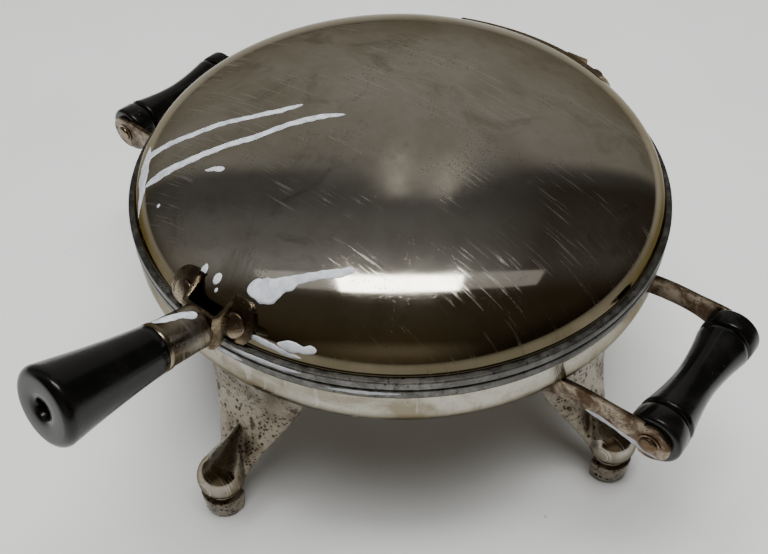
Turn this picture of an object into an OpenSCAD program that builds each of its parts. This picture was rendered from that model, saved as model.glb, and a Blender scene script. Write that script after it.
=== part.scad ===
// Domed electric waffle iron: a shallow nickel pan on four cabriole legs, two cast waffle
// grids, and a hinged dome lid with a turned front handle and two side carrying grips.
// Millimetres. +Z up. The origin is the middle of the footprint at the surface it stands on,
// and the lid handle points along -Y.

/* [Body] */
// Diameter of the two grid flanges
rim_d = 216; // [212:1:220]
// Height of the joint between the two grids
split_z = 100; // [98:0.5:102]
// Thickness of each grid flange
flange_t = 3.8; // [3.4:0.1:4.2]
// Depth of the curved belly below its straight band
belly_drop = 20; // [19:0.5:21]
// Sheet thickness of the pressed shells
sheet_t = 1.2; // [1:0.1:1.4]

/* [Lid] */
// Diameter of the dome where it meets the upper flange
dome_d = 210; // [208:0.5:211]
// Height of the dome above the upper flange
dome_h = 34.5; // [33:0.5:37]
// Upward tilt of the lid handle, in degrees
handle_tilt = 14; // [10:1:16]
// Length of the turned lid handle
handle_l = 42.6; // [38:0.5:46]
// Diameter of the lid handle at its outer end
handle_d = 27.5; // [24:0.5:29]

/* [Grids] */
// Spacing of the waffle studs
stud_pitch = 16.5; // [16:0.25:17]
// Side of each square stud
stud_w = 7.5; // [6:0.5:9]

/* [Legs] */
// Half width of a leg's shield at its top
leg_half_w = 31.5; // [30:0.5:31.5]
// Diameter of the ball at a leg's toe
toe_d = 19.6; // [19:0.2:20]
// Radius of the circle through the outer faces of the feet
foot_r = 124; // [122:1:126]

/* [Carrying grips] */
// Distance of each grip's axis from the body's axis
grip_x = 137; // [134:1:140]
// Length of each wooden grip
grip_l = 64; // [62:1:66]
// Diameter of a grip at its ends
grip_d = 21; // [19:0.5:22]

/* [Hidden] */

$fn = 64;
round_fn = 96;
dome_steps = 18;
rim_r = rim_d / 2;
seam_gap = 0.4;
lower_flange_top = split_z - seam_gap / 2;
lower_flange_z = lower_flange_top - flange_t;
upper_flange_z = split_z + seam_gap / 2;
dome_z = upper_flange_z + flange_t;
dome_r = dome_d / 2;
shell_r = rim_r - 0.4;
band_z = lower_flange_z - 8;
floor_z = band_z - belly_drop;
belly_reach = 30;
floor_r = shell_r - belly_reach;
cover_t = 1.2;
stud_h = 5.4;
stud_limit = 80;
boss_r = 9;
screw_r = 2.5;
clear = 0.05;
toe_r = toe_d / 2;
toe_at = [foot_r - toe_r, 19];
ankle_l = 13;
ankle_root_r = 8.8;
ankle_r = 6;
ankle_tilt = -36;
foot_h = 11;
foot_top_r = 9.4;
foot_base_r = 8.5;
foot_back = 4;
dish_r = 3.4;
dish_out = 2.2;
sheet_leg_t = 2.2;
tab_t = 1.8;
leg_rivet_r = 1.5;
leg_rivet_at = [68, 7];
grip_z = floor_z + 9;
strap_t = 2;
strap_h = 9.5;
strap_y = grip_l / 2 + strap_t / 2;
strap_in_x = 85;
strap_mid_x = 116;
strap_rise = 2.8;
strap_end_r = 7.6;
slot_lift = 0.8;
slot_extra = 2.6;
tie_r = 2.5;
hinge_y = rim_r + 5;
hinge_z = split_z - 1;
hinge_pin_r = 2;
knuckle_r = 4.5;
knuckle_half = 7.5;
lid_knuckle = [8, 18];
hinge_screw_az = 9;
hinge_screw_z = band_z + 2;
hinge_plate_z = band_z - 2;
hinge_plate_h = 7.6;
hinge_plate_t = 1.8;
hinge_rivet_az = 18;
hinge_rivet_z = dome_z + 7;
inlet_az = 135;
inlet_z = band_z - 5.5;
inlet_r = 11;
inlet_pin_y = 4.5;
handle_rivet_x = 12;
handle_z = dome_z + 6;
ferrule_l = 18.7;
// Point where the handle's axis leaves the ferrule's inner end
handle_at = [0, -rim_r - 2.5, split_z + 7.2];
handle_edge = 3;
handle_rod_r = 2;
handle_hole_r = 3.6;
handle_hole_l = 7;
crown_t = 1.7;
// Reach of the handle's rounded end towards -Y, from the body's axis
handle_reach = -handle_at[1] + (ferrule_l + handle_l - handle_edge) * cos(handle_tilt)
    + (handle_d / 2 - handle_edge) * sin(handle_tilt) + handle_edge;
// The body's axis, so that the origin is the middle of the bounding box
axis_y = (handle_reach - foot_r) / 2;

// Point on a cubic curve through the control points p
function curve(p, t) = pow(1 - t, 3) * p[0] + 3 * pow(1 - t, 2) * t * p[1]
    + 3 * (1 - t) * t * t * p[2] + t * t * t * p[3];
// Unit normal to the right of the cubic curve
function curve_normal(p, t) = let (d = curve(p, min(t + 0.01, 1)) - curve(p, max(t - 0.01, 0)))
    [d[1], -d[0]] / norm(d);
// Dome outline from its edge to its apex, pushed out by g
function dome_line(g) = [for (i = [0 : dome_steps]) let (t = 90 * i / dome_steps)
    [(dome_r + g) * cos(t), dome_z + (dome_h + g) * sin(t)]];
// Belly outline from the straight band to the flat floor, pushed in by g
function belly_line(g) = [for (i = [0 : 12]) let (t = 90 * i / 12)
    [floor_r + (belly_reach - g) * cos(t), band_z - (belly_drop - g) * sin(t)]];
// Radius of the dome at height z
function dome_radius(z) = dome_r * sqrt(1 - pow((z - dome_z) / dome_h, 2));
// Slope of the dome's outward normal above the horizontal at height z
function dome_lean(z) = atan2(dome_r * (z - dome_z) / dome_h, dome_h * dome_radius(z) / dome_r);

// Places children on the body's axis
module at_axis() translate([0, axis_y, 0]) children();
// Turns a shape drawn towards +X to the azimuth az
module facing(az) rotate([0, 0, az]) children();
// A dome-shaped solid, its surface pushed out by g
module dome_solid(g) rotate_extrude($fn = round_fn)
    polygon(concat(dome_line(g), [[0, dome_z - 1], [dome_r + g, dome_z - 1]]));
// A flat ring
module ring(r_in, r_out, z, h) translate([0, 0, z]) difference() {
    cylinder(r = r_out, h = h, $fn = round_fn);
    translate([0, 0, -1]) cylinder(r = r_in, h = h + 2, $fn = round_fn);
}
// A rivet or screw along +X: shank from -inside to 0 and a domed head outside
module button(shank_r, inside, head_r, head_h) rotate([0, 90, 0]) {
    translate([0, 0, -inside]) cylinder(r = shank_r, h = inside + 0.2, $fn = 32);
    intersection() {
        cylinder(r = head_r, h = head_h, $fn = 32);
        translate([0, 0, head_h - button_ball(head_r, head_h)]) sphere(r = button_ball(head_r, head_h));
    }
}
function button_ball(r, h) = (r * r + h * h) / (2 * h) + 0.3;

module base_shell() color("gainsboro") at_axis() difference() {
    rotate_extrude($fn = round_fn) polygon(concat(
        [[shell_r - 5, lower_flange_z], [shell_r, lower_flange_z]],
        belly_line(0),
        [[50, floor_z], [50, floor_z + sheet_t]],
        [for (p = [12 : -1 : 0]) belly_line(sheet_t)[p]],
        [[shell_r - sheet_t, lower_flange_z - sheet_t], [shell_r - 5, lower_flange_z - sheet_t]]));
    for (side = [-1, 1], y = [-1, 1])
        translate([side * 96, y * strap_y, grip_z + slot_lift])
            cube([34, strap_t + 0.6, strap_h + slot_extra], center = true);
    for (az = [0 : 90 : 270]) facing(az)
        for (s = [-1, 1]) translate([leg_rivet_at[0], s * leg_rivet_at[1], floor_z - 1])
            cylinder(r = leg_rivet_r + clear, h = sheet_t + 2);
    for (az = [45 : 90 : 315]) facing(az)
        translate([53, 0, floor_z - 1]) cylinder(r = 1.5 + clear, h = sheet_t + 2);
    for (s = [-1, 1]) facing(90 + s * hinge_screw_az)
        translate([shell_r - 8, 0, hinge_screw_z]) rotate([0, 90, 0])
            cylinder(r = 1.5 + clear, h = 12);
    facing(inlet_az) translate([shell_r - 22, 0, inlet_z]) rotate([0, 90, 0])
        cylinder(r = inlet_r + 0.2, h = 40);
}

module bottom_cover() color("silver") at_axis() difference() {
    translate([0, 0, floor_z - cover_t]) cylinder(r = 57, h = cover_t, $fn = round_fn);
    translate([0, 0, floor_z - 5]) cylinder(r = screw_r + clear, h = 8);
    for (az = [45 : 90 : 315]) facing(az)
        translate([53, 0, floor_z - 5]) cylinder(r = 1.5 + clear, h = 8);
    for (az = [0 : 30 : 330]) facing(az)
        translate([32, 0, floor_z - 5]) cylinder(r = 3, h = 8);
}

module cover_screws() color("dimgray") at_axis()
    for (az = [45 : 90 : 315]) facing(az)
        translate([53, 0, floor_z - cover_t]) rotate([0, 90, 0]) button(1.5, 4, 3.2, 1.6);

module base_screw() color("dimgray") at_axis()
    translate([0, 0, floor_z - cover_t]) rotate([0, 90, 0]) button(screw_r, 12, 5, 2.6);

// One cooking grid seen from its cooking side, its flange face at z = 0
module grid() union() {
    rotate_extrude($fn = round_fn) polygon([
        [0, -12], [88, -12], [91, -9.5], [99, -9.5], [99.5, -flange_t], [rim_r, -flange_t],
        [rim_r, 0], [99, 0], [98, -4.5], [92.5, -4.5], [91, -1.2], [88.5, -1.2],
        [87, -7.8], [0, -7.8]]);
    for (x = [-1, 1], y = [-1, 1], i = [0 : 4], j = [0 : 4])
        if (norm([stud_at(i), stud_at(j)]) < stud_limit)
            translate([x * stud_at(i), y * stud_at(j), stud_h / 2 - 8])
                cube([stud_w, stud_w, stud_h + 0.4], center = true);
    translate([0, 0, -5]) cube([175, 3, 7], center = true);
    translate([0, 0, -5]) cube([3, 175, 7], center = true);
}
function stud_at(i) = 10.5 + stud_pitch * i;

module lower_grid() color("darkgray") at_axis() difference() {
    union() {
        translate([0, 0, lower_flange_top]) grid();
        translate([0, 0, floor_z]) cylinder(r = boss_r, h = lower_flange_top - 10 - floor_z);
    }
    translate([0, 0, floor_z - 1]) cylinder(r = screw_r + clear, h = 12.2);
}

// Concentric heating coils with their lead bar, lying at height z
module coils(z) {
    for (r = [25, 43, 61]) translate([0, 0, z]) rotate_extrude($fn = 64)
        translate([r, 0]) circle(r = 1.8, $fn = 24);
    for (r = [34, 52]) translate([r, 0, z]) rotate([0, 90, 0]) cylinder(r = 1, h = 17, center = true, $fn = 24);
}
module lower_element() color("peru") at_axis() coils(band_z - 5);
module upper_element() color("peru") at_axis() coils(dome_z + 11.9);

module lower_insulator() color("antiquewhite") at_axis() ring(boss_r + 0.3, 79, band_z - 8.8, 2);
module upper_insulator() color("antiquewhite") at_axis() ring(boss_r + 0.3, 76, dome_z + 13.7, 2);

module lower_reflector() color("lightgray") at_axis() {
    ring(boss_r + 0.3, 78, floor_z + 4.5, 0.8);
    ring(77, 78, floor_z + 5, band_z - 8.8 - floor_z - 5);
    for (az = [45 : 90 : 315]) facing(az)
        translate([62, 0, floor_z + sheet_t]) cylinder(r = 3, h = 3.6 - 0.2);
}
module upper_reflector() color("lightgray") at_axis() ring(boss_r + 0.3, 74, dome_z + 15.7, 0.8);

// Front and side outlines of a leg, as cubic curves of [radius or half width, height]
leg_front_line = [[96.5, floor_z + 1.2], [95, 52], [97.5, 40], [toe_at[0] - 1, 14]];
leg_side_line = [[6.3, 12], [8, 32], [23, 45], [leg_half_w, floor_z + 8]];
leg_steps = 14;

// Pressed shield of a leg, standing in the direction +X
module leg_sheet() intersection() {
    rotate([0, 0, -25]) rotate_extrude(angle = 50, $fn = round_fn) polygon(concat(
        [[102.5, band_z], [102.5, floor_z + 5.8]],
        [for (i = [0 : leg_steps]) curve(leg_front_line, i / leg_steps)],
        [for (i = [leg_steps : -1 : 0]) let (t = i / leg_steps)
            curve(leg_front_line, t) + sheet_leg_t * curve_normal(leg_front_line, t)],
        [[94, band_z]]));
    rotate([90, 0, 90]) linear_extrude(130) polygon(concat(
        [for (i = [0 : leg_steps]) curve(leg_side_line, i / leg_steps)],
        [for (i = [leg_steps : -1 : 0]) let (p = curve(leg_side_line, i / leg_steps)) [-p[0], p[1]]]));
}

// Short foot under the ball, round in front and flat behind
module foot_block() difference() {
    translate([toe_at[0], 0, 0]) cylinder(r1 = foot_base_r, r2 = foot_top_r, h = foot_h);
    translate([toe_at[0] - foot_back - 20, -20, -1]) cube([20, 40, foot_h + 2]);
}

// A whole leg in the direction +X: shield, toe ball, foot block and fixing tab
module leg() difference() {
    union() {
        leg_sheet();
        translate([toe_at[0], 0, toe_at[1]]) {
            sphere(r = toe_r);
            // Cone that carries the ball's sides up into the shield
            rotate([0, ankle_tilt, 0]) cylinder(r1 = ankle_root_r, r2 = ankle_r, h = ankle_l);
        }
        difference() {
            foot_block();
            for (s = [-1, 1]) translate([toe_at[0], s * (foot_top_r + dish_out), foot_h / 2])
                sphere(r = dish_r);
        }
        translate([60, -11, floor_z - tab_t]) cube([36, 22, tab_t + 1]);
    }
    // Keeps the leg just under the belly
    rotate_extrude($fn = round_fn) polygon(concat(
        [[0, floor_z - clear], [0, 120], [shell_r + clear, 120]], belly_line(-clear)));
    for (s = [-1, 1]) translate([leg_rivet_at[0], s * leg_rivet_at[1], floor_z - 5])
        cylinder(r = leg_rivet_r + clear, h = 8);
}
module leg_front() color("rosybrown") at_axis() facing(-90) leg();
module leg_right() color("rosybrown") at_axis() facing(0) leg();
module leg_back() color("rosybrown") at_axis() facing(90) leg();
module leg_left() color("rosybrown") at_axis() facing(180) leg();

module leg_rivets() color("dimgray") at_axis()
    for (az = [0 : 90 : 270]) facing(az)
        for (s = [-1, 1]) translate([leg_rivet_at[0], s * leg_rivet_at[1], floor_z - tab_t])
            rotate([0, 90, 0]) {
                button(leg_rivet_r, tab_t + sheet_t + 1, 3, 1.3);
                translate([-tab_t - sheet_t - 1.2, 0, 0]) rotate([0, 90, 0]) cylinder(r = 2.6, h = 1.2);
            }

// Rise of a strap arm's arch above its ends at x
function strap_arch(x) = strap_rise * max(0, 1 - pow((x - strap_mid_x) / (grip_x - strap_mid_x), 2));
// Point on the upper (side 1) or lower (side -1) edge of a strap arm
function strap_edge(t, side) = let (x = strap_in_x + (grip_x - 3.5 - strap_in_x) * t)
    [x, strap_arch(x) + side * (strap_h / 2 + 2 * pow(t, 5))];

// Flat strap bent into a U: a bar inside the pan and two arms that hold a grip
module side_bracket() {
    difference() {
        union() {
            for (s = [-1, 1]) translate([0, s * strap_y, grip_z]) rotate([90, 0, 0]) {
                linear_extrude(strap_t, center = true) polygon(concat(
                    [for (i = [0 : 20]) strap_edge(i / 20, 1)],
                    [for (i = [20 : -1 : 0]) strap_edge(i / 20, -1)]));
                translate([grip_x, 0, 0]) cylinder(r = strap_end_r, h = strap_t, center = true);
            }
            translate([strap_in_x, -strap_y - strap_t / 2, grip_z - strap_h / 2])
                cube([strap_t, 2 * strap_y + strap_t, strap_h]);
        }
        translate([grip_x, 0, grip_z]) rotate([90, 0, 0])
            cylinder(r = tie_r + clear, h = 100, center = true);
    }
}
module side_bracket_right() color("silver") at_axis() side_bracket();
module side_bracket_left() color("silver") at_axis() mirror([1, 0, 0]) side_bracket();

// Turned grip: thick ends, a groove near each end and a slim waist
module side_grip() translate([grip_x, 0, grip_z]) rotate([-90, 0, 0]) rotate_extrude() polygon(concat(
    [[tie_r + clear, -grip_l / 2], [grip_d / 2 - 1, -grip_l / 2], [grip_d / 2, -grip_l / 2 + 1]],
    grip_half(-1),
    [for (i = [len(grip_half(1)) - 1 : -1 : 0]) grip_half(1)[i]],
    [[grip_d / 2, grip_l / 2 - 1], [grip_d / 2 - 1, grip_l / 2], [tie_r + clear, grip_l / 2]]));
groove_in = 9;
waist_r = 7.6;
// Outline of half a grip, from its end bead to the middle
function grip_half(s) = concat(
    [[grip_d / 2, s * (grip_l / 2 - groove_in + 1)], [grip_d / 2 - 1.5, s * (grip_l / 2 - groove_in)],
        [grip_d / 2 - 0.3, s * (grip_l / 2 - groove_in - 1)]],
    [for (i = [1 : 8]) let (t = i / 8, e = grip_l / 2 - groove_in - 1)
        [waist_r + (grip_d / 2 - 0.3 - waist_r) * pow(1 - t, 1.7), s * e * (1 - 0.96 * t)]]);
module side_grip_right() color("#222222") at_axis() side_grip();
module side_grip_left() color("#222222") at_axis() mirror([1, 0, 0]) side_grip();

module tie_rod() translate([grip_x, 0, grip_z]) {
    rotate([90, 0, 0]) cylinder(r = tie_r, h = grip_l + 2 * strap_t + 0.4, center = true);
    for (s = [-1, 1]) translate([0, s * (grip_l / 2 + strap_t), 0]) rotate([0, 0, 90 * s])
        button(tie_r, 1, 4.3, 2.4);
}
module tie_rod_right() color("dimgray") at_axis() tie_rod();
module tie_rod_left() color("dimgray") at_axis() mirror([1, 0, 0]) tie_rod();

module hinge_base_bracket() color("silver") at_axis() difference() {
    union() {
        // Curved plate on the straight band, under the flange
        rotate([0, 0, 90 - 13]) rotate_extrude(angle = 26, $fn = round_fn)
            translate([shell_r + clear, hinge_plate_z]) square([hinge_plate_t, hinge_plate_h]);
        rotate([90, 0, 90]) translate([0, 0, -knuckle_half]) linear_extrude(2 * knuckle_half)
            polygon([[rim_r, hinge_plate_z + hinge_plate_h], [rim_r, hinge_plate_z + 1],
                [hinge_y + 2, hinge_z - 6.5], [hinge_y + 3, hinge_z - 3], [hinge_y, hinge_z],
                [hinge_y - 4, hinge_z - 2]]);
        translate([0, hinge_y, hinge_z]) rotate([0, 90, 0])
            cylinder(r = knuckle_r, h = 2 * knuckle_half, center = true);
    }
    translate([0, hinge_y, hinge_z]) rotate([0, 90, 0])
        cylinder(r = hinge_pin_r + 0.02, h = 60, center = true);
    for (s = [-1, 1]) facing(90 + s * hinge_screw_az)
        translate([rim_r - 5, 0, hinge_screw_z]) rotate([0, 90, 0]) cylinder(r = 1.5 + clear, h = 12);
    // Keeps the knuckle's root clear of the flange
    translate([0, 0, lower_flange_z - 1]) cylinder(r = rim_r + 0.3, h = 100, $fn = round_fn);
}

module hinge_base_screws() color("dimgray") at_axis()
    for (s = [-1, 1]) facing(90 + s * hinge_screw_az)
        translate([shell_r + clear + hinge_plate_t, 0, hinge_screw_z]) button(1.5, 6, 2.4, 1.3);

module hinge_pin() color("dimgray") at_axis() translate([0, hinge_y, hinge_z]) rotate([0, 90, 0]) {
    cylinder(r = hinge_pin_r, h = 2 * lid_knuckle[1] + 2, center = true);
    for (s = [-1, 1]) translate([0, 0, s * (lid_knuckle[1] + 1.2)])
        cylinder(r = 3.2, h = 1.6, center = true);
}

module inlet_shroud() color("silver") at_axis() facing(inlet_az)
    translate([shell_r - 8, 0, inlet_z]) rotate([0, 90, 0]) difference() {
        cylinder(r = inlet_r, h = 19);
        translate([0, 0, 3]) cylinder(r = inlet_r - 1.2, h = 30);
        for (s = [-1, 1]) translate([0, s * inlet_pin_y, -1]) cylinder(r = 3.2, h = 6);
    }
module inlet_insulator() color("ivory") at_axis() facing(inlet_az)
    for (s = [-1, 1]) translate([shell_r - 9.5, s * inlet_pin_y, inlet_z]) rotate([0, 90, 0]) difference() {
        union() {
            cylinder(r = 3.15, h = 5);
            translate([0, 0, 4.5]) cylinder(r = 4.2, h = 2);
        }
        translate([0, 0, -1]) cylinder(r = 2 + clear, h = 10);
    }
module inlet_pins() color("khaki") at_axis() facing(inlet_az)
    for (s = [-1, 1]) translate([shell_r - 16, s * inlet_pin_y, inlet_z]) rotate([0, 90, 0]) cylinder(r = 2, h = 24);

module lid_shell() color("gainsboro") at_axis() difference() {
    union() {
        rotate_extrude($fn = round_fn) polygon(concat(
            dome_line(0), [for (i = [dome_steps : -1 : 0]) dome_line(-sheet_t)[i]],
            [[dome_r - sheet_t, dome_z + 0.01]]));
        ring(dome_r - 4.6, dome_r - 0.6, dome_z, sheet_t);
    }
    for (s = [-1, 1]) on_dome(90 + s * hinge_rivet_az, hinge_rivet_z)
        rotate([0, 90, 0]) cylinder(r = 1.5 + clear, h = 12, center = true);
    for (s = [-1, 1]) handle_rivet_place(s)
        rotate([0, 90, 0]) cylinder(r = 2 + clear, h = 30, center = true);
}

// Puts a shape drawn towards +X on the dome's surface, along its outward normal
module on_dome(az, z) facing(az) translate([dome_radius(z), 0, z]) rotate([0, -dome_lean(z), 0]) children();

module upper_grid() color("darkgray") at_axis() difference() {
    union() {
        translate([0, 0, upper_flange_z]) mirror([0, 0, 1]) grid();
        translate([0, 0, upper_flange_z + 10]) cylinder(r = boss_r, h = 14);
    }
    translate([0, 0, upper_flange_z + 15]) cylinder(r = screw_r + clear, h = 20);
}

module lid_bridge() color("lightgray") at_axis() difference() {
    intersection() {
        translate([0, 0, upper_flange_z + 25]) cube([200, 16, 2], center = true);
        dome_solid(-sheet_t - 0.02);
    }
    cylinder(r = screw_r + clear, h = 200);
}
module lid_stud() color("dimgray") at_axis()
    translate([0, 0, upper_flange_z + 16]) cylinder(r = screw_r, h = 16);
module lid_nut() color("dimgray") at_axis() difference() {
    translate([0, 0, upper_flange_z + 26]) cylinder(r = 5, h = 4, $fn = 6);
    cylinder(r = screw_r + clear, h = 200);
}

module hinge_lid_strap() color("silver") at_axis() difference() {
    union() {
        rotate([0, 0, 90 - 22]) rotate_extrude(angle = 44, $fn = round_fn) intersection() {
            difference() {
                polygon(concat(dome_line(1.6), [[0, dome_z]]));
                polygon(concat(dome_line(0.03), [[0, dome_z]]));
            }
            translate([0, dome_z + 0.5]) square([120, 12]);
        }
        for (s = [-1, 1]) translate([s * (lid_knuckle[0] + lid_knuckle[1]) / 2, 0, 0])
            rotate([90, 0, 90]) linear_extrude(lid_knuckle[1] - lid_knuckle[0], center = true) union() {
                polygon([[dome_r - 5, dome_z + 0.3], [hinge_y - 3.6, dome_z + 0.3], [hinge_y - 3.6, hinge_z],
                    [hinge_y + 3.6, hinge_z], [hinge_y + 2.6, hinge_z + 6], [dome_r + 1, dome_z + 5],
                    [dome_r - 8, dome_z + 9]]);
                translate([hinge_y, hinge_z]) circle(r = knuckle_r);
            }
    }
    dome_solid(0.03);
    translate([0, 0, dome_z - 10]) cylinder(r = rim_r + 0.3, h = 10.2, $fn = round_fn);
    translate([0, hinge_y, hinge_z]) rotate([0, 90, 0])
        cylinder(r = hinge_pin_r + 0.06, h = 60, center = true);
    for (s = [-1, 1]) on_dome(90 + s * hinge_rivet_az, hinge_rivet_z)
        rotate([0, 90, 0]) cylinder(r = 1.5 + clear, h = 12, center = true);
}
module hinge_lid_rivets() color("dimgray") at_axis()
    for (s = [-1, 1]) on_dome(90 + s * hinge_rivet_az, hinge_rivet_z)
        translate([1.7, 0, 0]) button(1.5, 4, 3, 1.3);

// Frame of the lid handle: z runs outwards along its axis from the ferrule's inner end
module handle_frame() translate(handle_at) rotate([90 - handle_tilt, 0, 0]) children();
module handle_rivet_place(s) on_dome(-90 + s * asin(handle_rivet_x / dome_radius(handle_z)), handle_z)
    children();

module handle_bracket() color("silver") at_axis() difference() {
    union() {
        // Two ears that lie on the dome
        intersection() {
            difference() {
                dome_solid(1.8);
                dome_solid(0.03);
            }
            union() for (s = [-1, 1]) handle_rivet_place(s)
                rotate([0, 90, 0]) cylinder(r = 7, h = 14, center = true);
        }
        // Raised crown that carries the ferrule
        handle_frame() translate([0, 0, -14]) linear_extrude(14) square([14, 13.4], center = true);
    }
    handle_frame() translate([0, 0, -14 - crown_t]) linear_extrude(14)
        square([14 - 2 * crown_t, 30], center = true);
    dome_solid(0.03);
    translate([0, 0, dome_z - 10]) cylinder(r = rim_r + 0.3, h = 10.2, $fn = round_fn);
    handle_frame() translate([0, 0, -20]) cylinder(r = handle_rod_r + clear, h = 40);
    for (s = [-1, 1]) handle_rivet_place(s)
        rotate([0, 90, 0]) cylinder(r = 2 + clear, h = 30, center = true);
}
module handle_rivets() color("saddlebrown") at_axis() difference() {
    for (s = [-1, 1]) handle_rivet_place(s) translate([1.9, 0, 0]) button(2, 5, 4.2, 2);
    handle_frame() translate([0, 0, -14]) linear_extrude(20) square([14.1, 13.5], center = true);
}
module handle_ferrule() color("silver") at_axis() handle_frame() difference() {
    cylinder(r1 = 8, r2 = 8.5, h = ferrule_l);
    translate([0, 0, -1]) cylinder(r = handle_rod_r + clear, h = 30);
}
module lid_handle() color("#181818") at_axis() handle_frame() translate([0, 0, ferrule_l])
    rotate_extrude() difference() {
        polygon(concat([[handle_rod_r + clear, 0], [8.75, 0]],
            [for (i = [1 : 10]) let (t = i / 10)
                [8.75 + (handle_d / 2 - 8.75) * pow(t, 1.3), (handle_l - handle_edge) * t]],
            [for (i = [1 : 6]) let (a = 90 * i / 6)
                [handle_d / 2 - handle_edge * (1 - cos(a)), handle_l - handle_edge * (1 - sin(a))]],
            [[handle_rod_r + clear, handle_l]]));
        translate([0, handle_l - handle_hole_l]) square([handle_hole_r, 10]);
    }
module handle_rod() color("dimgray") at_axis() handle_frame()
    translate([0, 0, -crown_t]) cylinder(r = handle_rod_r, h = crown_t + ferrule_l + handle_l - 3.6);
module handle_nut() color("dimgray") at_axis() handle_frame()
    difference() {
        translate([0, 0, ferrule_l + handle_l - handle_hole_l]) cylinder(r = handle_hole_r - 0.3, h = 2.6);
        cylinder(r = handle_rod_r + clear, h = 100);
    }

base_shell();
bottom_cover();
cover_screws();
base_screw();
lower_grid();
lower_element();
lower_insulator();
lower_reflector();
leg_front();
leg_right();
leg_back();
leg_left();
leg_rivets();
side_bracket_left();
side_bracket_right();
side_grip_left();
side_grip_right();
tie_rod_left();
tie_rod_right();
hinge_base_bracket();
hinge_base_screws();
hinge_pin();
inlet_shroud();
inlet_insulator();
inlet_pins();
lid_shell();
upper_grid();
upper_element();
upper_insulator();
upper_reflector();
lid_bridge();
lid_stud();
lid_nut();
hinge_lid_strap();
hinge_lid_rivets();
handle_bracket();
handle_rivets();
handle_ferrule();
lid_handle();
handle_rod();
handle_nut();
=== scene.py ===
"""Domed electric waffle iron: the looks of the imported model."""
import math

import bmesh
import bpy
from mathutils import Matrix, Vector, noise


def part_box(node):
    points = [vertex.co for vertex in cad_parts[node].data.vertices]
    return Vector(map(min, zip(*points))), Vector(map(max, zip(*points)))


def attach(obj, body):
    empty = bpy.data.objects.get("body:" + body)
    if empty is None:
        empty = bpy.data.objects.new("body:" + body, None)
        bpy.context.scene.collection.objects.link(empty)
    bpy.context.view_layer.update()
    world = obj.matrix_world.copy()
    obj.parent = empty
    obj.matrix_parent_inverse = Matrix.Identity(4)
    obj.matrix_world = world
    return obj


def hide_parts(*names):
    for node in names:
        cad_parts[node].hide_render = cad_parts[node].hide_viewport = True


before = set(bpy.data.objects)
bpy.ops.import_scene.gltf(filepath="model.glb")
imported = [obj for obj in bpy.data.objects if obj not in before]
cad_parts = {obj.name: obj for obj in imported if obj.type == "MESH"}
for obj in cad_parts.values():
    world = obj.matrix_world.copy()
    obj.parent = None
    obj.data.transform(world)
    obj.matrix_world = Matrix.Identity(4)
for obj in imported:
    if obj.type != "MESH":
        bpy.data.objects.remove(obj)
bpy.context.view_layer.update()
MM = 0.001
SEG = 192


# ---- sizes from the frame
def corners(node):
    """Lowest and highest corner of a CAD node, as vectors."""
    low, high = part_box(node)
    return Vector(low), Vector(high)


grid_lo, grid_hi = corners("lower_grid")
upper_lo, upper_hi = corners("upper_grid")
shell_lo, shell_hi = corners("base_shell")
dome_lo, dome_hi = corners("lid_shell")
grip_lo, grip_hi = corners("side_grip_right")

AXIS = Vector((0, (grid_lo.y + grid_hi.y) / 2, 0))
RIM_R = (grid_hi.x - grid_lo.x) / 2
FLANGE = 3.8 * MM
LOWER_TOP = grid_hi.z
UPPER_BOTTOM = upper_lo.z
DOME_Z = dome_lo.z
DOME_H = dome_hi.z - dome_lo.z
DOME_R = 105 * MM
SHELL_R = (shell_hi.x - shell_lo.x) / 2
FLOOR_Z = shell_lo.z
BAND_TOP = shell_hi.z
BAND_BOTTOM = BAND_TOP - 8 * MM
BELLY_DROP = BAND_BOTTOM - FLOOR_Z
BELLY_REACH = 30 * MM
SHEET = 1.2 * MM
FOOT_R = corners("leg_right")[1].x
TOE_R = 9.8 * MM
TOE_AT = Vector((FOOT_R - TOE_R, 0, 19 * MM))
GRIP_X = (grip_lo.x + grip_hi.x) / 2
GRIP_Z = (grip_lo.z + grip_hi.z) / 2
GRIP_L = grip_hi.y - grip_lo.y
GRIP_R = (grip_hi.x - grip_lo.x) / 2
STRAP_T = 2 * MM
HANDLE_TILT = math.radians(14)
HANDLE_AT = AXIS + Vector((0, -RIM_R - 2.5 * MM, UPPER_BOTTOM + 7 * MM))
FERRULE_L = 18.7 * MM
HANDLE_L = 42.6 * MM
HANDLE_R = 13.75 * MM
BORE_R = 2.08 * MM


# ---- mesh helpers
def add_mesh(name, bm, material, smooth=True):
    """Turns a bmesh into an object of the scene with one material."""
    bmesh.ops.recalc_face_normals(bm, faces=bm.faces)
    mesh = bpy.data.meshes.new(name)
    bm.to_mesh(mesh)
    bm.free()
    obj = bpy.data.objects.new(name, mesh)
    bpy.context.scene.collection.objects.link(obj)
    mesh.materials.append(material)
    for face in mesh.polygons:
        face.use_smooth = smooth
    return obj


def apply_modifier(obj, kind, **settings):
    """Adds one modifier, sets it and applies it."""
    modifier = obj.modifiers.new(kind, kind)
    for key, value in settings.items():
        setattr(modifier, key, value)
    bpy.context.view_layer.update()
    graph = bpy.context.evaluated_depsgraph_get()
    mesh = bpy.data.meshes.new_from_object(obj.evaluated_get(graph))
    obj.modifiers.clear()
    obj.data = mesh


def sharpen(obj, angle=35):
    """Keeps edges sharper than an angle crisp in the smooth shading."""
    bm = bmesh.new()
    bm.from_mesh(obj.data)
    limit = math.radians(angle)
    for edge in bm.edges:
        edge.smooth = len(edge.link_faces) == 2 and edge.calc_face_angle(0) < limit
    bm.to_mesh(obj.data)
    bm.free()
    return obj


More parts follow.
